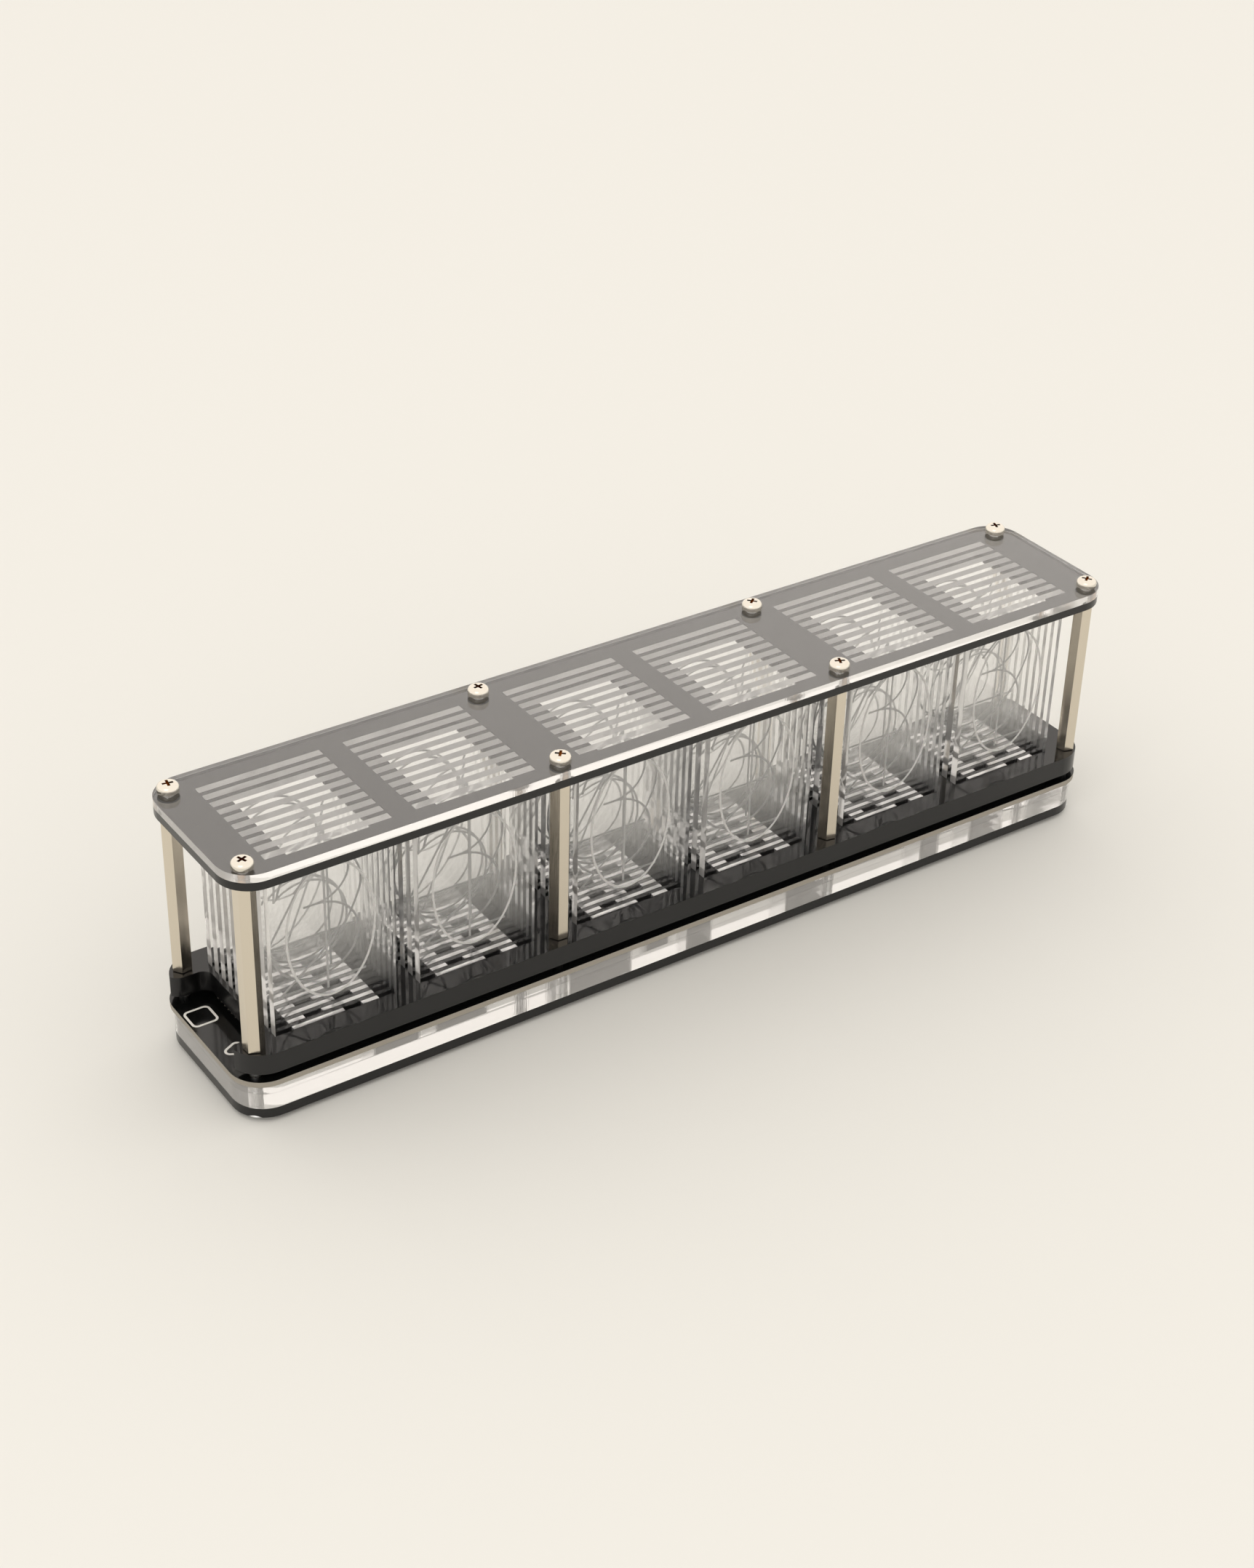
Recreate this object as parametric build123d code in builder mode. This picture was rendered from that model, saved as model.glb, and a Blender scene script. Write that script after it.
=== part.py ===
from build123d import *
import os

os.makedirs("parts", exist_ok=True)

# Edge-lit numeral clock, in millimetres. The origin is under the middle of the base, on the surface that
# the feet stand on. +X runs along the row of digits to the right, -Y is the front, +Z is up.

# Grid of fasteners: four columns along X, two rows along Y
column_count = 4
column_pitch = 90.5
row_pitch = 40.0

# Outlines of the stacked sheets, measured outward from the fastener axes
top_margin = 5.3
block_margin = 5.0
board_margin = 5.3
base_margin = 4.6
corner_radius = 9.4

# Heights of the stack, from the bottom up, with a thin film of air between clear sheets and neighbours
foot_height = 1.6
bottom_plate_thickness = 2.8
lower_spacer_thickness = 4.7
upper_spacer_thickness = 2.8
board_thickness = 1.6
light_gap = 2.2
slot_plate_thickness = 3.0
standoff_length = 50.0
comb_thickness = 2.3
cover_thickness = 2.3
air_film = 0.04

# Digit panes: ten behind each other in every digit, numbered from the front
panes_per_digit = 10
pane_pitch = 3.9
pane_thickness = 2.4
pane_width = 35.0
pane_top_clearance = 0.1
digit_pitch = 42.0
end_tab_width = 5.2
end_tab_depth = 2.9
light_tab_width = 5.2
light_tab_depth = 5.8
light_offset = 5.0
slot_side_clearance = 0.1
slot_end_clearance = 0.2

# Windows of the comb plate
comb_tooth_length = 5.4
comb_front_relief = 0.8

# Engraved numerals
numeral_width = 25.0
numeral_height = 40.0
numeral_lift = 5.7
stroke_width = 0.6
engraving_depth = 0.25

# Bay at the left end that leaves the touch pads open
bay_reach = 5.2
bay_side_clearance = 4.0
bay_inner_radius = 3.0
lobe_radius = 3.5

# Fasteners
thread_diameter = 3.0
screw_clearance = 0.05
screw_hole_clearance = 0.2
hex_across_flats = 5.0
hex_chamfer = 0.25
standoff_bore_depth = 10.0
standoff_turns = [35.0, 58.0, 51.0, 44.0, 5.0, 20.0, 40.0, 12.0]
pan_head_diameter = 5.8
pan_head_height = 2.2
pan_head_edge = 1.3
top_screw_length = 8.0
flat_head_diameter = 5.6
flat_head_rim = 0.2
flat_head_clearance = 0.1
bottom_screw_length = 25.0
recess_span = 2.9
recess_slot = 0.75
recess_depth = 1.2
recess_turns = [20.0, 50.0, 65.0, 35.0, 80.0, 10.0, 40.0, 70.0]

# Light sources and the sheet that keeps each one under its own pane
pixel_size = 5.0
pixel_height = 1.6
pixel_clearance = 0.3
baffle_end_inset = 8.0
baffle_overhang = 1.5
baffle_screw_relief = 1.3

# Printed marks and plated pads on the board
mark_size = 7.5
mark_stroke = 0.65
mark_height = 0.05
mark_corner_radius = 1.6
mark_shift = -1.0
mark_spacing = 17.0
pad_count = 6
pad_pitch = 1.95
pad_diameter = 0.8
pad_height = 0.06
pad_shift = 6.6

# Feet
foot_diameter = 7.8
foot_edge_radius = 0.6

# Parts under the board, from left to right, and the windows of the clear sheets that make room for them
controller_x = -92.5
timing_x = -72.5
battery_x = -29.5
regulator_x = 6.0
clock_chip_x = 43.0
resistor_x = 88.5
capacitor_x = 110.5
window_room_x = 2.5
window_room_y = 3.0
battery_room = 0.8
window_radius = 1.0
chip_body = 7.0
chip_height = 1.0
clock_chip_length = 10.3
clock_chip_width = 7.5
clock_chip_height = 2.3
lead_width = 0.4
lead_reach = 1.0
lead_thickness = 0.2
chip_lead_pitch = 0.8
clock_lead_pitch = 1.27
leads_per_side = 8
crystal_length = 3.2
crystal_width = 2.5
crystal_height = 0.8
load_offset = 4.5
cell_diameter = 16.0
cell_thickness = 3.2
cell_clearance = 0.2
holder_length = 19.0
holder_width = 21.0
holder_height = 4.6
regulator_length = 6.5
regulator_width = 3.5
regulator_height = 1.6
passive_length = 2.0
passive_width = 1.25
passive_height = 0.8
resistor_count = 4
resistor_pitch = 3.0
capacitor_columns = 2
capacitor_rows = 4
capacitor_pitch_x = 6.0
capacitor_pitch_y = 3.0
socket_width = 7.5
socket_depth = 5.6
socket_height = 2.6
socket_wall = 0.3
socket_clearance = 0.4
tongue_width = 4.2
tongue_thickness = 0.6
tongue_length = 3.6

# Worked out from the sizes above
half_span = (column_count - 1) * column_pitch / 2
half_rows = row_pitch / 2
column_xs = [i * column_pitch - half_span for i in range(column_count)]
screw_points = [(x, y) for y in (-half_rows, half_rows) for x in column_xs]
bay_centres = [x + column_pitch / 2 for x in column_xs[:-1]]
digit_xs = [x + side * digit_pitch / 2 for x in bay_centres for side in (-1, 1)]
pane_ys = [(k - (panes_per_digit - 1) / 2) * pane_pitch for k in range(panes_per_digit)]

bottom_z = foot_height
lower_spacer_z = bottom_z + bottom_plate_thickness + air_film
upper_spacer_z = lower_spacer_z + lower_spacer_thickness + air_film
board_z = upper_spacer_z + upper_spacer_thickness + air_film
board_top_z = board_z + board_thickness
lower_slot_z = board_top_z + light_gap
upper_slot_z = lower_slot_z + slot_plate_thickness
slot_top_z = upper_slot_z + slot_plate_thickness
comb_z = slot_top_z + standoff_length
cover_z = comb_z + comb_thickness + air_film
cover_top_z = cover_z + cover_thickness

slot_depth = pane_thickness + 2 * slot_side_clearance
slot_length = pane_width + 2 * slot_end_clearance
end_slot_width = end_tab_width + 2 * slot_end_clearance
light_slot_width = light_tab_width + 2 * slot_end_clearance
end_tab_shift = (pane_width - end_tab_width) / 2
bay_half_depth = half_rows - bay_side_clearance
bay_wall_x = column_xs[0] + bay_reach
shank_diameter = thread_diameter - 2 * screw_clearance
screw_hole_diameter = thread_diameter + 2 * screw_hole_clearance
flat_head_taper = (flat_head_diameter - shank_diameter) / 2
mark_x = column_xs[0] + mark_shift
pad_x = column_xs[0] + pad_shift
base_back_y = half_rows + base_margin
chip_span = chip_body + 2 * lead_reach
clock_chip_span = clock_chip_width + 2 * lead_reach
regulator_span = regulator_length + 2 * lead_reach
load_span = 2 * load_offset + passive_length
resistor_span = (resistor_count - 1) * resistor_pitch + passive_width
capacitor_span_x = (capacitor_columns - 1) * capacitor_pitch_x + passive_length
capacitor_span_y = (capacitor_rows - 1) * capacitor_pitch_y + passive_width

STANDING = (Align.CENTER, Align.CENTER, Align.MIN)
HANGING = (Align.CENTER, Align.CENTER, Align.MAX)


def save(piece, name):
    """Label a finished piece and write it as its own STEP file."""
    piece.part.label = name
    export_step(piece.part, f"parts/{name}.step")


def light_shift(k):
    """Pane k takes its light right of its middle in even rows, and left of it in odd rows."""
    return light_offset if k % 2 == 0 else -light_offset


def sheet_outline(margin):
    """Rounded outline of a sheet that reaches a margin past the fastener axes."""
    RectangleRounded(2 * (half_span + margin), 2 * (half_rows + margin), corner_radius)


def screw_holes():
    """Clearance holes of a sheet for all the screws."""
    with Locations(*screw_points):
        Circle(screw_hole_diameter / 2, mode=Mode.SUBTRACT)


def touch_bay(margin):
    """Opening at the left end of a sheet, between the lobes round the two end screws."""
    edge_x = column_xs[0] - margin
    with BuildLine() as bay_outline:
        Polyline(
            (edge_x - lobe_radius, bay_half_depth + lobe_radius),
            (edge_x - lobe_radius, -bay_half_depth - lobe_radius),
            (edge_x, -bay_half_depth - lobe_radius),
        )
        RadiusArc(
            (edge_x, -bay_half_depth - lobe_radius), (edge_x + lobe_radius, -bay_half_depth), lobe_radius
        )
        FilletPolyline(
            (edge_x + lobe_radius, -bay_half_depth),
            (bay_wall_x, -bay_half_depth),
            (bay_wall_x, bay_half_depth),
            (edge_x + lobe_radius, bay_half_depth),
            radius=bay_inner_radius,
        )
        RadiusArc(
            (edge_x + lobe_radius, bay_half_depth), (edge_x, bay_half_depth + lobe_radius), lobe_radius
        )
        Line((edge_x, bay_half_depth + lobe_radius), (edge_x - lobe_radius, bay_half_depth + lobe_radius))
    make_face(bay_outline.edges(), mode=Mode.SUBTRACT)


def part_window(x, length, width, room_x, room_y):
    """Window of a clear sheet, with room all round a part under the board."""
    with Locations((x, 0)):
        RectangleRounded(length + 2 * room_x, width + 2 * room_y, window_radius, mode=Mode.SUBTRACT)


def tall_part_windows():
    """Windows that both clear sheets have."""
    part_window(battery_x, holder_length, holder_width, battery_room, battery_room)
    part_window(regulator_x, regulator_width, regulator_span, window_room_x, battery_room)
    part_window(clock_chip_x, clock_chip_length, clock_chip_span, window_room_x, window_room_y)
    part_window(resistor_x, passive_length, resistor_span, window_room_x, window_room_y)
    part_window(capacitor_x, capacitor_span_x, capacitor_span_y, window_room_x, window_room_y)


def cross_recesses():
    """Cross outlines of the driver recesses, each screw left at its own turn."""
    for (x, y), turn in zip(screw_points, recess_turns):
        with Locations((x, y)):
            Rectangle(recess_span, recess_slot, rotation=turn)
            Rectangle(recess_span, recess_slot, rotation=turn + 90)


# ---- Base -------------------------------------------------------------------------------------------

foot_x = half_span + base_margin - corner_radius
foot_y = half_rows + base_margin - corner_radius
with BuildPart() as silicone_feet:
    with GridLocations(2 * foot_x, 2 * foot_y, 2, 2):
        Cylinder(foot_diameter / 2, foot_height, align=STANDING)
    fillet(silicone_feet.faces().group_by(Axis.Z)[0].edges(), foot_edge_radius)
save(silicone_feet, "silicone_feet")

with BuildPart() as bottom_plate:
    with BuildSketch(Plane.XY.offset(bottom_z)):
        sheet_outline(base_margin)
    extrude(amount=bottom_plate_thickness)
    with Locations(*[Location((x, y, bottom_z), (180, 0, 0)) for x, y in screw_points]):
        CounterSinkHole(screw_hole_diameter / 2, flat_head_diameter / 2 + flat_head_clearance + flat_head_rim)
save(bottom_plate, "bottom_plate")

with BuildPart() as bottom_screws:
    with Locations(*[(x, y, bottom_z) for x, y in screw_points]):
        Cylinder(flat_head_diameter / 2, flat_head_rim, align=STANDING)
    with Locations(*[(x, y, bottom_z + flat_head_rim) for x, y in screw_points]):
        Cone(flat_head_diameter / 2, shank_diameter / 2, flat_head_taper, align=STANDING)
    with Locations(*[(x, y, bottom_z + flat_head_rim) for x, y in screw_points]):
        Cylinder(shank_diameter / 2, bottom_screw_length - flat_head_rim, align=STANDING)
    with BuildSketch(Plane.XY.offset(bottom_z)):
        cross_recesses()
    extrude(amount=recess_depth, mode=Mode.SUBTRACT)
save(bottom_screws, "bottom_screws")

with BuildPart() as lower_clear_sheet:
    with BuildSketch(Plane.XY.offset(lower_spacer_z)):
        sheet_outline(base_margin)
        screw_holes()
        tall_part_windows()
    extrude(amount=lower_spacer_thickness)
save(lower_clear_sheet, "lower_clear_sheet")

with BuildPart() as upper_clear_sheet:
    with BuildSketch(Plane.XY.offset(upper_spacer_z)):
        sheet_outline(base_margin)
        screw_holes()
        tall_part_windows()
        part_window(controller_x, chip_span, chip_span, window_room_x, window_room_y)
        part_window(timing_x, load_span, chip_span, window_room_x, window_room_y)
        with Locations((0, base_back_y)):
            Rectangle(
                socket_width + 2 * socket_clearance,
                2 * (socket_depth + socket_clearance),
                mode=Mode.SUBTRACT,
            )
    extrude(amount=upper_spacer_thickness)
save(upper_clear_sheet, "upper_clear_sheet")

# ---- Board ------------------------------------------------------------------------------------------

with BuildPart() as main_board:
    with BuildSketch(Plane.XY.offset(board_z)):
        sheet_outline(board_margin)
        screw_holes()
    extrude(amount=board_thickness)
save(main_board, "main_board")

with BuildPart() as square_touch_mark:
    with BuildSketch(Plane.XY.offset(board_top_z)):
        with Locations((mark_x, mark_spacing / 2)):
            RectangleRounded(mark_size, mark_size, mark_corner_radius)
            RectangleRounded(
                mark_size - 2 * mark_stroke,
                mark_size - 2 * mark_stroke,
                mark_corner_radius - mark_stroke,
                mode=Mode.SUBTRACT,
            )
    extrude(amount=mark_height)
save(square_touch_mark, "square_touch_mark")

with BuildPart() as arrow_touch_mark:
    with BuildSketch(Plane.XY.offset(board_top_z)) as arrow_outline:
        with BuildLine():
            Polyline(
                (mark_x - mark_size / 2, -mark_spacing / 2),
                (mark_x + mark_size / 2, -mark_spacing / 2 - mark_size / 2),
                (mark_x + mark_size / 2, -mark_spacing / 2 + mark_size / 2),
                close=True,
            )
        make_face()
        fillet(arrow_outline.vertices(), mark_corner_radius)
        offset(amount=-mark_stroke, kind=Kind.INTERSECTION, mode=Mode.SUBTRACT)
    extrude(amount=mark_height)
save(arrow_touch_mark, "arrow_touch_mark")

with BuildPart() as service_pads:
    with Locations((pad_x, mark_spacing / 2, board_top_z)):
        with GridLocations(0, pad_pitch, 1, pad_count):
            Cylinder(pad_diameter / 2, pad_height, align=STANDING)
save(service_pads, "service_pads")

with BuildPart() as pixel_leds:
    for k, y in enumerate(pane_ys):
        with Locations(*[(x + light_shift(k), y, board_top_z) for x in digit_xs]):
            Box(pixel_size, pixel_size, pixel_height, align=STANDING)
save(pixel_leds, "pixel_leds")

with BuildPart() as led_baffle:
    with BuildSketch(Plane.XY.offset(board_top_z)):
        Rectangle(2 * (half_span - baffle_end_inset), 2 * (half_rows + baffle_overhang))
        with Locations(*[(x, y) for x, y in screw_points if x in column_xs[1:-1]]):
            Circle(screw_hole_diameter / 2 + baffle_screw_relief, mode=Mode.SUBTRACT)
        for k, y in enumerate(pane_ys):
            with Locations(*[(x + light_shift(k), y) for x in digit_xs]):
                Rectangle(
                    pixel_size + 2 * pixel_clearance, pixel_size + 2 * pixel_clearance, mode=Mode.SUBTRACT
                )
    extrude(amount=light_gap)
save(led_baffle, "led_baffle")

# ---- Slot block -------------------------------------------------------------------------------------

with BuildPart() as lower_slot_plate:
    with BuildSketch(Plane.XY.offset(lower_slot_z)):
        sheet_outline(block_margin)
        screw_holes()
        touch_bay(block_margin)
        for k, y in enumerate(pane_ys):
            with Locations(*[(x + light_shift(k), y) for x in digit_xs]):
                Rectangle(light_slot_width, slot_depth, mode=Mode.SUBTRACT)
    extrude(amount=slot_plate_thickness)
save(lower_slot_plate, "lower_slot_plate")

with BuildPart() as upper_slot_plate:
    with BuildSketch(Plane.XY.offset(upper_slot_z)):
        sheet_outline(block_margin)
        screw_holes()
        touch_bay(block_margin)
        for k, y in enumerate(pane_ys):
            with Locations(*[(x + light_shift(k), y) for x in digit_xs]):
                Rectangle(light_slot_width, slot_depth, mode=Mode.SUBTRACT)
            with Locations(*[(x + side * end_tab_shift, y) for x in digit_xs for side in (-1, 1)]):
                Rectangle(end_slot_width, slot_depth, mode=Mode.SUBTRACT)
    extrude(amount=slot_plate_thickness)
save(upper_slot_plate, "upper_slot_plate")

# ---- Numerals ---------------------------------------------------------------------------------------
# Each numeral is drawn as pen strokes in a box that runs from -1 to 1 across and from 0 to 1 upward.


def spot(across, up):
    """Point of the numeral box, measured from the middle of its foot."""
    return (across * numeral_width / 2, up * numeral_height)


def bar(*spots):
    """Straight strokes from spot to spot."""
    return Polyline(*[spot(*place) for place in spots], mode=Mode.PRIVATE)


def bowl(across, up, half_width, half_height, start, sweep):
    """Elliptical stroke that starts at an angle and turns counter-clockwise."""
    return EllipticalCenterArc(
        spot(across, up),
        half_width * numeral_width / 2,
        half_height * numeral_height,
        start_angle=start,
        arc_size=sweep,
        mode=Mode.PRIVATE,
    )


def neck(upper_stroke, lower_stroke):
    """Smooth stroke from the start of the upper one to the end of the lower one."""
    return Spline(
        upper_stroke @ 0,
        lower_stroke @ 1,
        tangents=(-(upper_stroke % 0), -(lower_stroke % 1)),
        mode=Mode.PRIVATE,
    )


two_top = bowl(0, 0.71, 0.95, 0.29, -20, 192)
two_foot = bar((1, 0), (-0.95, 0), (0.2, 0.285))
numeral_strokes = [
    [bowl(0, 0.5, 1, 0.5, 0, 360)],
    [bar((0, 0), (0, 1), (-0.68, 0.8))],
    [two_top, neck(two_top, two_foot), two_foot],
    [bowl(0, 0.28, 0.98, 0.28, -175, 265), bowl(0, 0.78, 0.8, 0.22, -90, 255), bar((0, 0.56), (-0.25, 0.56))],
    [bar((0.43, 0), (0.43, 1)), bar((0.43, 1), (-1, 0.27), (1, 0.27))],
    [bowl(-0.02, 0.325, 0.98, 0.325, -165, 297), bar((-0.68, 0.56), (-0.6, 1), (0.8, 1))],
    [bowl(0, 0.32, 1, 0.32, 0, 360), bowl(0.7, 0.32, 1.7, 0.68, 96, 84)],
    [bar((-0.96, 1), (0.96, 1), (-0.35, 0))],
    [bowl(0, 0.285, 0.98, 0.285, 0, 360), bowl(0, 0.785, 0.8, 0.215, 0, 360)],
    [bowl(0, 0.68, 1, 0.32, 0, 360), bowl(-0.7, 0.68, 1.7, 0.68, -84, 84)],
]

# ---- Digit panes ------------------------------------------------------------------------------------

pane_foot_z = slot_top_z + air_film
pane_top_z = cover_z - pane_top_clearance
for k, y in enumerate(pane_ys):
    back_y = y + pane_thickness / 2
    with BuildSketch() as numeral:
        for stroke in numeral_strokes[k]:
            trace(stroke, line_width=stroke_width)
    with BuildPart() as digit_pane:
        with BuildSketch(Plane.XZ.offset(-back_y)):
            with Locations(*[(x, (pane_foot_z + pane_top_z) / 2) for x in digit_xs]):
                Rectangle(pane_width, pane_top_z - pane_foot_z)
            with Locations(*[(x + s * end_tab_shift, pane_foot_z) for x in digit_xs for s in (-1, 1)]):
                Rectangle(end_tab_width, end_tab_depth, align=(Align.CENTER, Align.MAX))
            with Locations(*[(x + light_shift(k), pane_foot_z) for x in digit_xs]):
                Rectangle(light_tab_width, light_tab_depth, align=(Align.CENTER, Align.MAX))
        extrude(amount=pane_thickness)
        with BuildSketch(Plane.XZ.offset(-back_y)):
            with Locations(*[(x, pane_foot_z + numeral_lift) for x in digit_xs]):
                add(numeral.sketch)
        extrude(amount=engraving_depth, mode=Mode.SUBTRACT)
    save(digit_pane, f"digit_pane_{k}")

# ---- Top --------------------------------------------------------------------------------------------

with BuildPart() as hex_standoffs:
    with BuildSketch(Plane.XY.offset(slot_top_z)):
        for (x, y), turn in zip(screw_points, standoff_turns):
            with Locations((x, y)):
                RegularPolygon(hex_across_flats / 2, 6, major_radius=False, rotation=turn)
    extrude(amount=standoff_length)
    hex_ends = hex_standoffs.faces().filter_by(Axis.Z)
    chamfer(hex_ends.edges(), hex_chamfer)
    with Locations(*[(x, y, comb_z) for x, y in screw_points]):
        Hole(thread_diameter / 2, standoff_bore_depth)
    with Locations(*[(x, y, slot_top_z) for x, y in screw_points]):
        Cylinder(thread_diameter / 2, standoff_bore_depth, align=STANDING, mode=Mode.SUBTRACT)
save(hex_standoffs, "hex_standoffs")

joined_front_y = pane_ys[0] - slot_depth / 2 - comb_front_relief
joined_back_y = pane_ys[-2] + slot_depth / 2
with BuildPart() as comb_plate:
    with BuildSketch(Plane.XY.offset(comb_z)):
        sheet_outline(top_margin)
        screw_holes()
        with Locations(*[(x, y) for x in digit_xs for y in pane_ys]):
            Rectangle(slot_length, slot_depth, mode=Mode.SUBTRACT)
        with Locations(*[(x, (joined_front_y + joined_back_y) / 2) for x in digit_xs]):
            Rectangle(
                slot_length - 2 * comb_tooth_length, joined_back_y - joined_front_y, mode=Mode.SUBTRACT
            )
    extrude(amount=comb_thickness)
save(comb_plate, "comb_plate")

with BuildPart() as cover_plate:
    with BuildSketch(Plane.XY.offset(cover_z)):
        sheet_outline(top_margin)
        screw_holes()
    extrude(amount=cover_thickness)
save(cover_plate, "cover_plate")

with BuildPart() as top_screws:
    with Locations(*[(x, y, cover_top_z) for x, y in screw_points]):
        Cylinder(pan_head_diameter / 2, pan_head_height, align=STANDING)
    fillet(top_screws.faces().group_by(Axis.Z)[-1].edges(), pan_head_edge)
    with Locations(*[(x, y, cover_top_z) for x, y in screw_points]):
        Cylinder(shank_diameter / 2, top_screw_length, align=HANGING)
    with BuildSketch(Plane.XY.offset(cover_top_z + pan_head_height)):
        cross_recesses()
    extrude(amount=-recess_depth, mode=Mode.SUBTRACT)
save(top_screws, "top_screws")

# ---- Parts under the board --------------------------------------------------------------------------


def chip_with_leads(x, length, width, height, lead_pitch, all_round):
    """Chip body under the board, with leads along two or all four of its sides."""
    with Locations((x, 0, board_z)):
        Box(length, width, height, align=HANGING)
        with GridLocations(lead_pitch, 0, leads_per_side, 1):
            Box(lead_width, width + 2 * lead_reach, lead_thickness, align=HANGING)
        if all_round:
            with GridLocations(0, lead_pitch, 1, leads_per_side):
                Box(length + 2 * lead_reach, lead_width, lead_thickness, align=HANGING)


with BuildPart() as microcontroller:
    chip_with_leads(controller_x, chip_body, chip_body, chip_height, chip_lead_pitch, True)
save(microcontroller, "microcontroller")

with BuildPart() as clock_chip:
    chip_with_leads(
        clock_chip_x, clock_chip_length, clock_chip_width, clock_chip_height, clock_lead_pitch, False
    )
save(clock_chip, "clock_chip")

with BuildPart() as crystal:
    with Locations((timing_x, 0, board_z)):
        Box(crystal_length, crystal_width, crystal_height, align=HANGING)
save(crystal, "crystal")

with BuildPart() as load_capacitors:
    with Locations((timing_x - load_offset, 0, board_z), (timing_x + load_offset, 0, board_z)):
        Box(passive_length, passive_width, passive_height, align=HANGING)
save(load_capacitors, "load_capacitors")

pocket_z = board_z - holder_height
with BuildPart() as coin_cell_holder:
    with Locations((battery_x, 0, board_z)):
        Box(holder_length, holder_width, holder_height, align=HANGING)
    with Locations((battery_x, 0, pocket_z)):
        Cylinder(
            cell_diameter / 2 + cell_clearance,
            cell_thickness + cell_clearance,
            align=STANDING,
            mode=Mode.SUBTRACT,
        )
save(coin_cell_holder, "coin_cell_holder")

with BuildPart() as coin_cell:
    with Locations((battery_x, 0, pocket_z + cell_clearance)):
        Cylinder(cell_diameter / 2, cell_thickness, align=STANDING)
save(coin_cell, "coin_cell")

with BuildPart() as voltage_regulator:
    with Locations((regulator_x, 0, board_z)):
        Box(regulator_width, regulator_length, regulator_height, align=HANGING)
        Box(lead_width, regulator_span, lead_thickness, align=HANGING)
save(voltage_regulator, "voltage_regulator")

with BuildPart() as series_resistors:
    with Locations((resistor_x, 0, board_z)):
        with GridLocations(0, resistor_pitch, 1, resistor_count):
            Box(passive_length, passive_width, passive_height, align=HANGING)
save(series_resistors, "series_resistors")

with BuildPart() as decoupling_capacitors:
    with Locations((capacitor_x, 0, board_z)):
        with GridLocations(capacitor_pitch_x, capacitor_pitch_y, capacitor_columns, capacitor_rows):
            Box(passive_length, passive_width, passive_height, align=HANGING)
save(decoupling_capacitors, "decoupling_capacitors")

socket_middle_z = board_z - socket_height / 2
with BuildPart() as power_socket:
    with Locations((0, base_back_y, socket_middle_z)):
        Box(socket_width, socket_depth, socket_height, align=(Align.CENTER, Align.MAX, Align.CENTER))
        Box(
            socket_width - 2 * socket_wall,
            socket_depth - socket_wall,
            socket_height - 2 * socket_wall,
            align=(Align.CENTER, Align.MAX, Align.CENTER),
            mode=Mode.SUBTRACT,
        )
    with Locations((0, base_back_y - socket_depth, socket_middle_z)):
        Box(
            tongue_width,
            socket_wall + tongue_length,
            tongue_thickness,
            align=(Align.CENTER, Align.MIN, Align.CENTER),
        )
save(power_socket, "power_socket")
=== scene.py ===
import math

import bpy
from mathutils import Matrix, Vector


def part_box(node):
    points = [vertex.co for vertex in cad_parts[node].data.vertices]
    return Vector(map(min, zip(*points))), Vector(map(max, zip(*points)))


# Edge-lit numeral clock: ten engraved clear panes behind each other in each of six digits, between a base
# of stacked acrylic sheets and a comb plate on hex posts. Everything is in metres.

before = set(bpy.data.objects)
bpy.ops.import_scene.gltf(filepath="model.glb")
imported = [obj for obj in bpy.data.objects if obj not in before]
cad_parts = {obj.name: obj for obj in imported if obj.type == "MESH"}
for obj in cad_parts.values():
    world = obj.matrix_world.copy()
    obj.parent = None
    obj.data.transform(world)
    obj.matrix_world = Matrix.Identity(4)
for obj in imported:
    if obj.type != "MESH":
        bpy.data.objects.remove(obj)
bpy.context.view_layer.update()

MM = 0.001

# Grid of the clock that masks follow
COLUMN_PITCH = 90.5 * MM
SCREW_ROW = 20.0 * MM
DIGIT_OFFSET = 21.0 * MM
PANE_PITCH = 3.9 * MM

# Engraved strokes: their depth, and how far they keep from a pane's ends and from its face
ENGRAVING_DEPTH = 0.25 * MM
ENGRAVING_HALF_WIDTH = 14.0 * MM
ENGRAVING_MARGIN = 2.0 * MM
FACE_MARGIN = 0.02 * MM

# Driver recess of the top screws, where shade is painted into the colour
RECESS_RADIUS = 1.7 * MM
RECESS_LIP = 0.12 * MM

# Grain sizes. Frost, weave and mould grain are really finer, and are drawn as coarse as they need to show.
RIPPLE_PITCH = 0.35 * MM
RIPPLE_DEPTH = 0.012 * MM
SHEET_RIPPLE_DEPTH = 0.03 * MM
RIPPLE_STRETCH = 0.02
FROST_GRAIN = 0.15 * MM
FROST_DEPTH = 0.05 * MM
WIPE_SIZE = 9.0 * MM
WEAVE_PITCH = 0.5 * MM
TURNING_PITCH = 0.3 * MM
SKIN_GRAIN = 0.4 * MM
SKIN_DEPTH = 0.02 * MM
FINE_DEPTH = 0.01 * MM
BAR_STRETCH = 0.05

# Share of white haze on laser-cut edges
SHEET_HAZE = 0.25
PANE_HAZE = 0.3

ACRYLIC_IOR = 1.49
PLASTIC_IOR = 1.5
SILICONE_IOR = 1.41

# Heights that the frame gives
slot_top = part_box("upper_slot_plate")[1][2]
comb_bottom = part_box("comb_plate")[0][2]
first_pane_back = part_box("digit_pane_0")[1][1]
screw_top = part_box("top_screws")[1][2]


# ---- Node and colour helpers ------------------------------------------------------------------------


def colour(hex_code):
    """An sRGB hex colour as the linear colour that shaders take."""
    channels = [int(hex_code[i : i + 2], 16) / 255 for i in (1, 3, 5)]
    linear = [c / 12.92 if c <= 0.04045 else ((c + 0.055) / 1.055) ** 2.4 for c in channels]
    return (*linear, 1.0)


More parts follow.
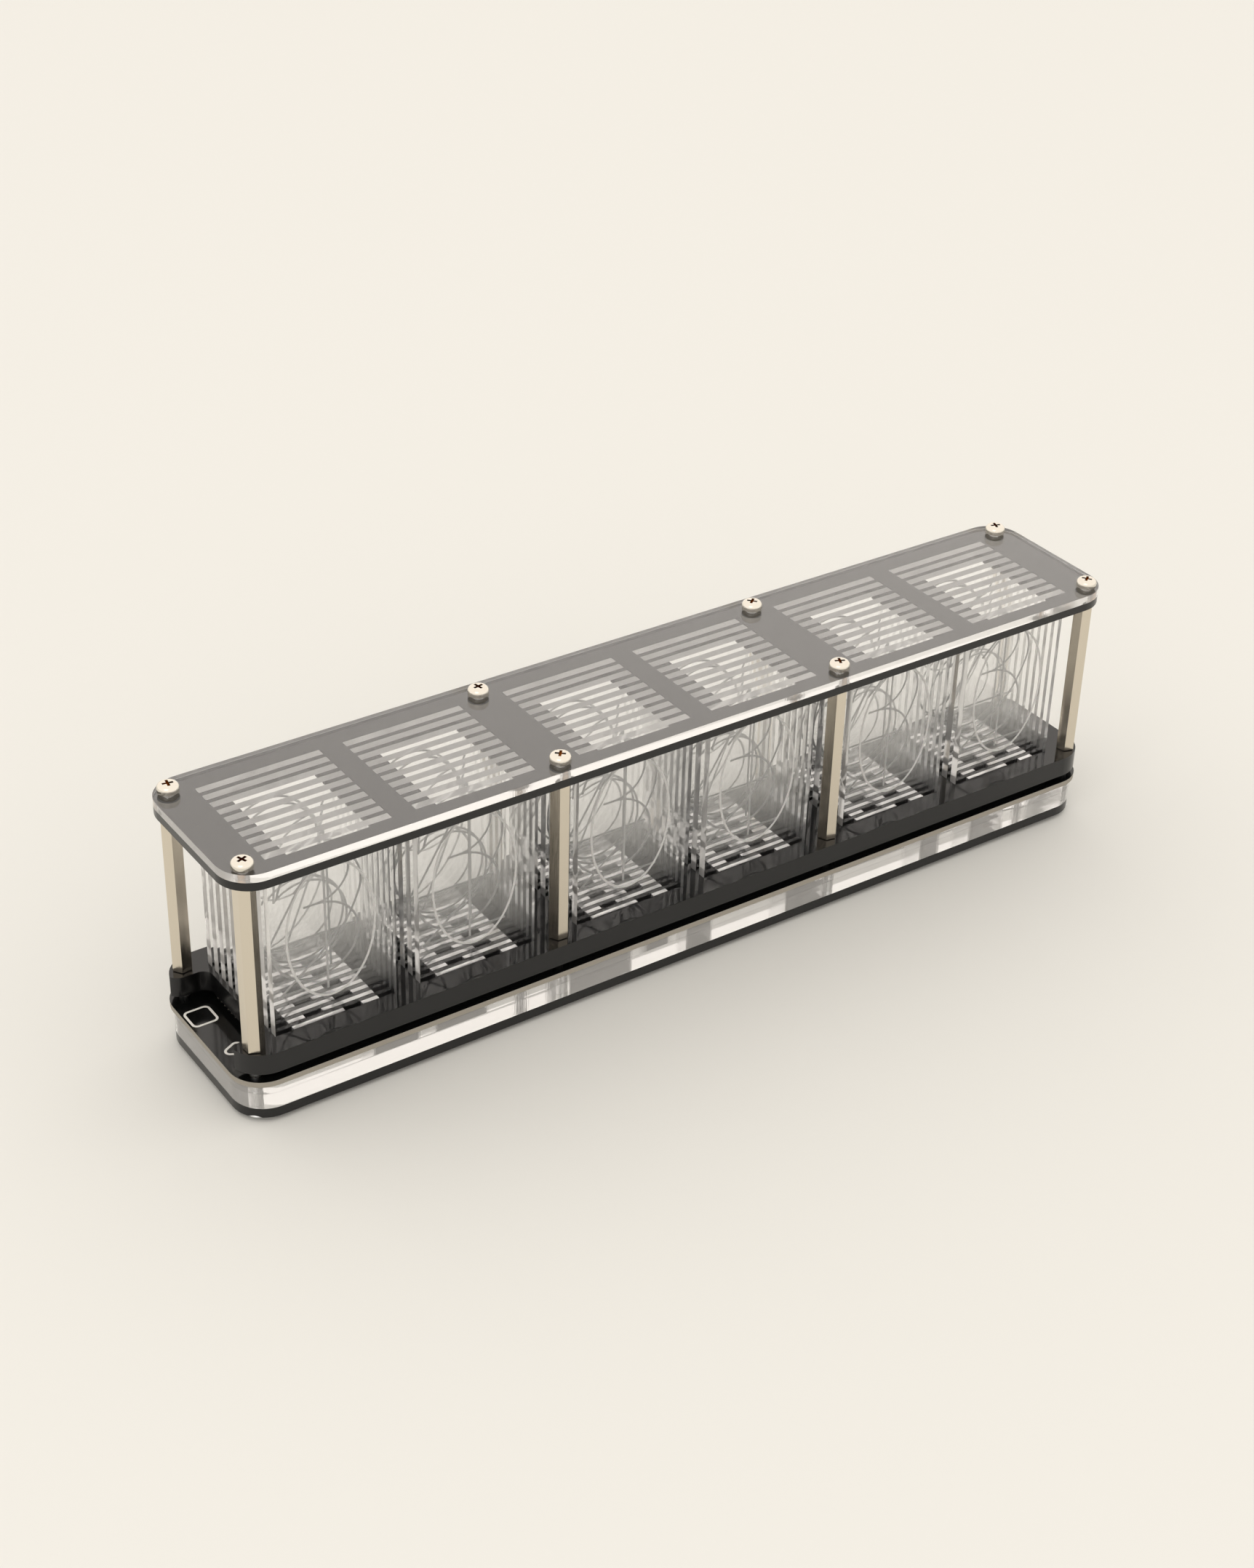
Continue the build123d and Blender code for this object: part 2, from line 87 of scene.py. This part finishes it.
def add_node(tree, kind, inputs=None, **settings):
    """Adds one node with its settings. Inputs are values, sockets, or nodes that give their first output."""
    node = tree.nodes.new(kind)
    for name, value in settings.items():
        setattr(node, name, value)
    for socket, value in (inputs or {}).items():
        source = value.outputs[0] if isinstance(value, bpy.types.Node) else value
        if isinstance(source, bpy.types.NodeSocket):
            tree.links.new(source, node.inputs[socket])
        else:
            node.inputs[socket].default_value = source
    return node


def start_material(name):
    """An empty node material, its tree, and Object coordinates, which are metres in the clock's own frame."""
    material = bpy.data.materials.new(name)
    material.use_nodes = True
    tree = material.node_tree
    tree.nodes.clear()
    return material, tree, add_node(tree, "ShaderNodeTexCoord").outputs["Object"]


def on_cut_edges(tree, face_axis):
    """1 on a sheet's cut edges and 0 on its two faces, which look along face_axis."""
    facing = add_node(tree, "ShaderNodeNewGeometry").outputs["Normal"]
    along = add_node(tree, "ShaderNodeSeparateXYZ", {"Vector": facing}).outputs[face_axis]
    size = add_node(tree, "ShaderNodeMath", {0: along}, operation="ABSOLUTE")
    return add_node(tree, "ShaderNodeMath", {0: size, 1: 0.5}, operation="LESS_THAN")


def laser_ripples(tree, place, on_edge, stretch, depth):
    """Fine ripples that a laser leaves across the thickness of a sheet's cut edges."""
    across = add_node(tree, "ShaderNodeMapping", {"Vector": place, "Scale": stretch})
    ripples = add_node(
        tree,
        "ShaderNodeTexNoise",
        {"Vector": across, "Scale": 1 / RIPPLE_PITCH, "Detail": 2.0, "Roughness": 0.6},
    )
    height = add_node(tree, "ShaderNodeMath", {0: ripples, 1: on_edge}, operation="MULTIPLY")
    return add_node(tree, "ShaderNodeBump", {"Height": height, "Strength": 1.0, "Distance": depth})


# ---- Materials --------------------------------------------------------------------------------------


def clear_sheet_surface(tree, place, face_axis, stretch, haze, ripple_depth):
    """Cast acrylic: faces as clear as glass, and laser-cut edges with ripples and a little white haze."""
    on_edge = on_cut_edges(tree, face_axis)
    ripples = laser_ripples(tree, place, on_edge, stretch, ripple_depth)
    glass = add_node(
        tree,
        "ShaderNodeBsdfPrincipled",
        {
            "Base Color": colour("#FFFFFF"),
            "Roughness": 0.0,
            "IOR": ACRYLIC_IOR,
            "Transmission Weight": 1.0,
            "Normal": ripples,
        },
    )
    hazy = add_node(
        tree,
        "ShaderNodeBsdfPrincipled",
        {"Base Color": colour("#FBFAF8"), "Roughness": 0.5, "IOR": ACRYLIC_IOR, "Normal": ripples},
    )
    share = add_node(tree, "ShaderNodeMath", {0: on_edge, 1: haze}, operation="MULTIPLY")
    return add_node(tree, "ShaderNodeMixShader", {0: share, 1: glass, 2: hazy})


def let_lamps_through(tree, surface):
    """Clear plastic hardly shades what is behind it, so lamps reach through it."""
    path = add_node(tree, "ShaderNodeLightPath").outputs["Is Shadow Ray"]
    clear = add_node(tree, "ShaderNodeBsdfTransparent", {"Color": colour("#FFFFFF")})
    return add_node(tree, "ShaderNodeMixShader", {0: path, 1: surface, 2: clear})


def clear_cast_acrylic():
    """Cover and clear base sheets: see-through faces, and bright edges with upright laser ripples."""
    material, tree, place = start_material("clear_cast_acrylic")
    upright = (1, 1, RIPPLE_STRETCH)
    sheet = clear_sheet_surface(tree, place, "Z", upright, SHEET_HAZE, SHEET_RIPPLE_DEPTH)
    add_node(tree, "ShaderNodeOutputMaterial", {"Surface": let_lamps_through(tree, sheet)})
    return material


def in_engraving(tree, place):
    """1 on the walls and floor of the engraved strokes, at the back of every pane, and 0 elsewhere."""
    axes = add_node(tree, "ShaderNodeSeparateXYZ", {"Vector": place}).outputs
    wrap = {0: axes["X"], 1: COLUMN_PITCH / 2, 2: -COLUMN_PITCH / 2}
    in_bay = add_node(tree, "ShaderNodeMath", wrap, operation="WRAP")
    from_bay = add_node(tree, "ShaderNodeMath", {0: in_bay}, operation="ABSOLUTE")
    past_digit = add_node(tree, "ShaderNodeMath", {0: from_bay, 1: DIGIT_OFFSET}, operation="SUBTRACT")
    from_digit = add_node(tree, "ShaderNodeMath", {0: past_digit}, operation="ABSOLUTE")
    across = add_node(
        tree, "ShaderNodeMath", {0: from_digit, 1: ENGRAVING_HALF_WIDTH}, operation="LESS_THAN"
    )
    from_back = add_node(tree, "ShaderNodeMath", {0: first_pane_back, 1: axes["Y"]}, operation="SUBTRACT")
    depth = add_node(tree, "ShaderNodeMath", {0: from_back, 1: PANE_PITCH, 2: 0.0}, operation="WRAP")
    past_face = add_node(tree, "ShaderNodeMath", {0: depth, 1: FACE_MARGIN}, operation="GREATER_THAN")
    deepest = ENGRAVING_DEPTH + FACE_MARGIN
    in_depth = add_node(tree, "ShaderNodeMath", {0: depth, 1: deepest}, operation="LESS_THAN")
    lowest = slot_top + ENGRAVING_MARGIN
    above_foot = add_node(tree, "ShaderNodeMath", {0: axes["Z"], 1: lowest}, operation="GREATER_THAN")
    highest = comb_bottom - ENGRAVING_MARGIN
    under_top = add_node(tree, "ShaderNodeMath", {0: axes["Z"], 1: highest}, operation="LESS_THAN")
    inside = across
    for test in (past_face, in_depth, above_foot, under_top):
        inside = add_node(tree, "ShaderNodeMath", {0: inside, 1: test}, operation="MULTIPLY")
    return inside


def engraved_cast_acrylic():
    """Panes: clear cast acrylic whose engraved strokes the laser left frosted and white."""
    material, tree, place = start_material("engraved_clear_cast_acrylic")
    sheet = clear_sheet_surface(tree, place, "Y", (1, RIPPLE_STRETCH, 1), PANE_HAZE, RIPPLE_DEPTH)
    grain = add_node(tree, "ShaderNodeTexNoise", {"Vector": place, "Scale": 1 / FROST_GRAIN, "Detail": 3.0})
    bump = add_node(tree, "ShaderNodeBump", {"Height": grain, "Distance": FROST_DEPTH})
    frost = add_node(
        tree,
        "ShaderNodeBsdfPrincipled",
        {"Base Color": colour("#FCFCFA"), "Roughness": 0.6, "IOR": ACRYLIC_IOR, "Normal": bump},
    )
    pane = add_node(tree, "ShaderNodeMixShader", {0: in_engraving(tree, place), 1: sheet, 2: frost})
    add_node(tree, "ShaderNodeOutputMaterial", {"Surface": let_lamps_through(tree, pane)})
    return material


def black_cast_acrylic():
    """Black cast acrylic, laser cut: mirror faces with faint wipe marks, and duller rippled edges."""
    material, tree, place = start_material("black_cast_acrylic")
    on_edge = on_cut_edges(tree, "Z")
    wipes = add_node(tree, "ShaderNodeTexNoise", {"Vector": place, "Scale": 1 / WIPE_SIZE, "Detail": 3.0})
    sheen = add_node(tree, "ShaderNodeMapRange", {"Value": wipes, "To Min": 0.02, "To Max": 0.08})
    duller = add_node(tree, "ShaderNodeMath", {0: on_edge, 1: 0.2, 2: sheen}, operation="MULTIPLY_ADD")
    surface = add_node(
        tree,
        "ShaderNodeBsdfPrincipled",
        {
            "Base Color": colour("#0A0A0B"),
            "Roughness": duller,
            "IOR": ACRYLIC_IOR,
            "Normal": laser_ripples(tree, place, on_edge, (1, 1, RIPPLE_STRETCH), RIPPLE_DEPTH),
        },
    )
    add_node(tree, "ShaderNodeOutputMaterial", {"Surface": surface})
    return material


def circuit_board():
    """Glass-epoxy board under black solder mask: glossy black faces, and grey-beige sawn edges."""
    material, tree, place = start_material("glass_epoxy_board")
    on_edge = on_cut_edges(tree, "Z")
    tones = {"Factor": on_edge, 6: colour("#0B0C0C"), 7: colour("#8E897F")}
    tone = add_node(tree, "ShaderNodeMix", tones, data_type="RGBA").outputs[2]
    gloss = add_node(tree, "ShaderNodeMath", {0: on_edge, 1: 0.5, 2: 0.12}, operation="MULTIPLY_ADD")
    weave = add_node(tree, "ShaderNodeTexNoise", {"Vector": place, "Scale": 1 / WEAVE_PITCH, "Detail": 3.0})
    bump = add_node(tree, "ShaderNodeBump", {"Height": weave, "Strength": 0.3, "Distance": FINE_DEPTH})
    surface = add_node(
        tree,
        "ShaderNodeBsdfPrincipled",
        {"Base Color": tone, "Roughness": gloss, "IOR": PLASTIC_IOR, "Normal": bump},
    )
    add_node(tree, "ShaderNodeOutputMaterial", {"Surface": surface})
    return material


def pan_head_steel():
    """Nickel-plated steel screws: bright domed heads, with painted shade, a darker warm tone, inside the
    driver recess.
    """
    material, tree, place = start_material("nickel_plated_steel")
    axes = add_node(tree, "ShaderNodeSeparateXYZ", {"Vector": place}).outputs
    wrap = {0: axes["X"], 1: COLUMN_PITCH, 2: 0.0}
    in_column = add_node(tree, "ShaderNodeMath", wrap, operation="WRAP")
    off_x = add_node(tree, "ShaderNodeMath", {0: in_column, 1: COLUMN_PITCH / 2}, operation="SUBTRACT")
    from_middle = add_node(tree, "ShaderNodeMath", {0: axes["Y"]}, operation="ABSOLUTE")
    off_y = add_node(tree, "ShaderNodeMath", {0: from_middle, 1: SCREW_ROW}, operation="SUBTRACT")
    square_x = add_node(tree, "ShaderNodeMath", {0: off_x, 1: off_x}, operation="MULTIPLY")
    square_y = add_node(tree, "ShaderNodeMath", {0: off_y, 1: off_y}, operation="MULTIPLY")
    square = add_node(tree, "ShaderNodeMath", {0: square_x, 1: square_y}, operation="ADD")
    from_axis = add_node(tree, "ShaderNodeMath", {0: square}, operation="SQRT")
    near_axis = add_node(tree, "ShaderNodeMath", {0: from_axis, 1: RECESS_RADIUS}, operation="LESS_THAN")
    lip = screw_top - RECESS_LIP
    below_top = add_node(tree, "ShaderNodeMath", {0: axes["Z"], 1: lip}, operation="LESS_THAN")
    recess_painted_shade = add_node(tree, "ShaderNodeMath", {0: near_axis, 1: below_top}, operation="MULTIPLY")
    # Painted shade: inside the driver recess the head colour turns to a darker, warmer tone
    tones = {"Factor": recess_painted_shade, 6: colour("#E2DDD2"), 7: colour("#A67C45")}
    tone = add_node(tree, "ShaderNodeMix", tones, data_type="RGBA").outputs[2]
    turning = add_node(
        tree, "ShaderNodeTexNoise", {"Vector": place, "Scale": 1 / TURNING_PITCH, "Detail": 3.0}
    )
    rough = add_node(tree, "ShaderNodeMapRange", {"Value": turning, "To Min": 0.12, "To Max": 0.26})
    surface = add_node(
        tree, "ShaderNodeBsdfPrincipled", {"Base Color": tone, "Metallic": 1.0, "Roughness": rough}
    )
    add_node(tree, "ShaderNodeOutputMaterial", {"Surface": surface})
    return material


def plated_metal(name, hex_code, roughness, grain_pitch):
    """Plated steel, brass or copper: a bright even metal with the faint marks of its drawing or turning."""
    material, tree, place = start_material(name)
    stretched = add_node(tree, "ShaderNodeMapping", {"Vector": place, "Scale": (1, 1, BAR_STRETCH)})
    grain = add_node(
        tree, "ShaderNodeTexNoise", {"Vector": stretched, "Scale": 1 / grain_pitch, "Detail": 4.0}
    )
    shiniest, dullest = roughness * 0.7, roughness * 1.4
    rough = add_node(tree, "ShaderNodeMapRange", {"Value": grain, "To Min": shiniest, "To Max": dullest})
    bump = add_node(tree, "ShaderNodeBump", {"Height": grain, "Strength": 0.3, "Distance": FINE_DEPTH})
    surface = add_node(
        tree,
        "ShaderNodeBsdfPrincipled",
        {"Base Color": colour(hex_code), "Metallic": 1.0, "Roughness": rough, "Normal": bump},
    )
    add_node(tree, "ShaderNodeOutputMaterial", {"Surface": surface})
    return material


def moulded_plastic(name, hex_code, roughness, grain_size, depth):
    """Moulded, fired or printed surface: one even colour with a fine grain that softens its gloss."""
    material, tree, place = start_material(name)
    grain = add_node(tree, "ShaderNodeTexNoise", {"Vector": place, "Scale": 1 / grain_size, "Detail": 3.0})
    shiniest, dullest = roughness * 0.85, roughness * 1.15
    rough = add_node(tree, "ShaderNodeMapRange", {"Value": grain, "To Min": shiniest, "To Max": dullest})
    bump = add_node(tree, "ShaderNodeBump", {"Height": grain, "Strength": 0.5, "Distance": depth})
    surface = add_node(
        tree,
        "ShaderNodeBsdfPrincipled",
        {"Base Color": colour(hex_code), "Roughness": rough, "IOR": PLASTIC_IOR, "Normal": bump},
    )
    add_node(tree, "ShaderNodeOutputMaterial", {"Surface": surface})
    return material


def clear_silicone():
    """Moulded silicone bumpers: milky and half clear, with a dull skin."""
    material, tree, place = start_material("clear_silicone_rubber")
    grain = add_node(tree, "ShaderNodeTexNoise", {"Vector": place, "Scale": 1 / SKIN_GRAIN})
    bump = add_node(tree, "ShaderNodeBump", {"Height": grain, "Distance": SKIN_DEPTH})
    rubber = add_node(
        tree,
        "ShaderNodeBsdfPrincipled",
        {
            "Base Color": colour("#E6E8E6"),
            "Roughness": 0.3,
            "IOR": SILICONE_IOR,
            "Transmission Weight": 0.85,
            "Normal": bump,
        },
    )
    add_node(tree, "ShaderNodeOutputMaterial", {"Surface": rubber})
    return material


# ---- Every piece gets its finish --------------------------------------------------------------------


def finish_pieces(material, *names):
    """Gives every material slot of these pieces one material."""
    for name in names:
        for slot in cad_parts[name].material_slots:
            slot.link = "OBJECT"
            slot.material = material


pane_names = [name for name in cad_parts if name.startswith("digit_pane_")]
finish_pieces(engraved_cast_acrylic(), *pane_names)
finish_pieces(clear_cast_acrylic(), "cover_plate", "lower_clear_sheet", "upper_clear_sheet")
finish_pieces(black_cast_acrylic(), "bottom_plate", "lower_slot_plate", "upper_slot_plate", "comb_plate")
finish_pieces(circuit_board(), "main_board")
finish_pieces(pan_head_steel(), "top_screws")
finish_pieces(clear_silicone(), "silicone_feet")

# Metals: name, colour, roughness, grain in millimetres, and the pieces made of it
METALS = [
    ("nickel_plated_brass", "#D8CFBF", 0.2, 0.3, ["hex_standoffs"]),
    ("zinc_plated_steel", "#C9CBCC", 0.28, 0.25, ["bottom_screws"]),
    ("stainless_steel", "#C8C8C4", 0.25, 0.3, ["coin_cell", "crystal", "power_socket"]),
    ("tinned_copper", "#E8E4D8", 0.3, 0.2, ["service_pads"]),
]
for name, hex_code, roughness, grain, pieces in METALS:
    finish_pieces(plated_metal(name, hex_code, roughness, grain * MM), *pieces)

# Moulded, fired and printed finishes: name, colour, roughness, grain and its depth in millimetres, pieces
PLASTICS = [
    ("white_screen_print", "#ECEBE6", 0.6, 0.15, 0.01, ["square_touch_mark", "arrow_touch_mark"]),
    ("white_led_package", "#EFEDE4", 0.45, 0.2, 0.01, ["pixel_leds"]),
    ("black_craft_foam", "#121212", 0.85, 0.3, 0.04, ["led_baffle"]),
    ("moulded_epoxy", "#1B1B1D", 0.6, 0.12, 0.01, ["microcontroller", "clock_chip", "voltage_regulator"]),
    ("moulded_nylon", "#17171A", 0.5, 0.25, 0.02, ["coin_cell_holder"]),
    (
        "fired_ceramic",
        "#9A7B55",
        0.55,
        0.1,
        0.01,
        ["decoupling_capacitors", "load_capacitors", "series_resistors"],
    ),
]
for name, hex_code, roughness, grain, depth, pieces in PLASTICS:
    finish_pieces(moulded_plastic(name, hex_code, roughness, grain * MM, depth * MM), *pieces)


# ---- Floor, light and camera ------------------------------------------------------------------------


def pale_floor():
    """A wide floor of matt paper, pale and even, with a fibre grain."""
    bpy.ops.object.select_all(action="DESELECT")
    bpy.ops.mesh.primitive_plane_add(size=14, location=(0, 0, 0))
    floor = bpy.context.object
    floor.name = "studio_floor"
    material, tree, place = start_material("matt_paper_floor")
    fibres = add_node(tree, "ShaderNodeTexNoise", {"Vector": place, "Scale": 1 / (2 * MM), "Detail": 2.0})
    bump = add_node(tree, "ShaderNodeBump", {"Height": fibres, "Strength": 0.1, "Distance": 0.02 * MM})
    paper = add_node(
        tree,
        "ShaderNodeBsdfPrincipled",
        {"Base Color": colour("#DBDCD9"), "Roughness": 0.95, "Normal": bump},
    )
    add_node(tree, "ShaderNodeOutputMaterial", {"Surface": paper})
    floor.data.materials.append(material)


def studio_light():
    """An even, slightly warm studio dome, with one soft box high on the left."""
    world = bpy.data.worlds.new("studio_dome")
    bpy.context.scene.world = world
    world.use_nodes = True
    dome = world.node_tree.nodes["Background"].inputs
    dome["Color"].default_value = colour("#FFF8F0")
    dome["Strength"].default_value = 1.25
    light = bpy.data.lights.new("left_soft_box", "AREA")
    light.shape = "RECTANGLE"
    light.size = 0.9
    light.size_y = 0.9
    light.energy = 1.5
    soft_box = bpy.data.objects.new("left_soft_box", light)
    soft_box.location = (-0.9, -0.7, 1.2)
    soft_box.rotation_euler = (Vector((0, 0, 0.03)) - soft_box.location).to_track_quat("-Z", "Y").to_euler()
    bpy.context.scene.collection.objects.link(soft_box)


def view_camera():
    """Three-quarter view from the front left, looking down on the clock."""
    data = bpy.data.cameras.new("view_camera")
    data.sensor_fit = "VERTICAL"
    data.sensor_height = 36.0
    data.lens = 60.53
    data.clip_start = 0.01
    camera = bpy.data.objects.new("view_camera", data)
    camera.location = (-0.36025, -0.49779, 0.43153)
    camera.rotation_euler = tuple(math.radians(a) for a in (57.6925, -1.3772, -34.2478))
    bpy.context.scene.collection.objects.link(camera)
    bpy.context.scene.camera = camera


pale_floor()
studio_light()
view_camera()

# A sight line crosses up to ten panes, the cover and the comb, so light paths need room for that many faces
cycles = bpy.context.scene.cycles
cycles.max_bounces = 48
cycles.glossy_bounces = 48
cycles.transmission_bounces = 48
cycles.transparent_max_bounces = 64
bpy.context.scene.view_settings.view_transform = "Standard"
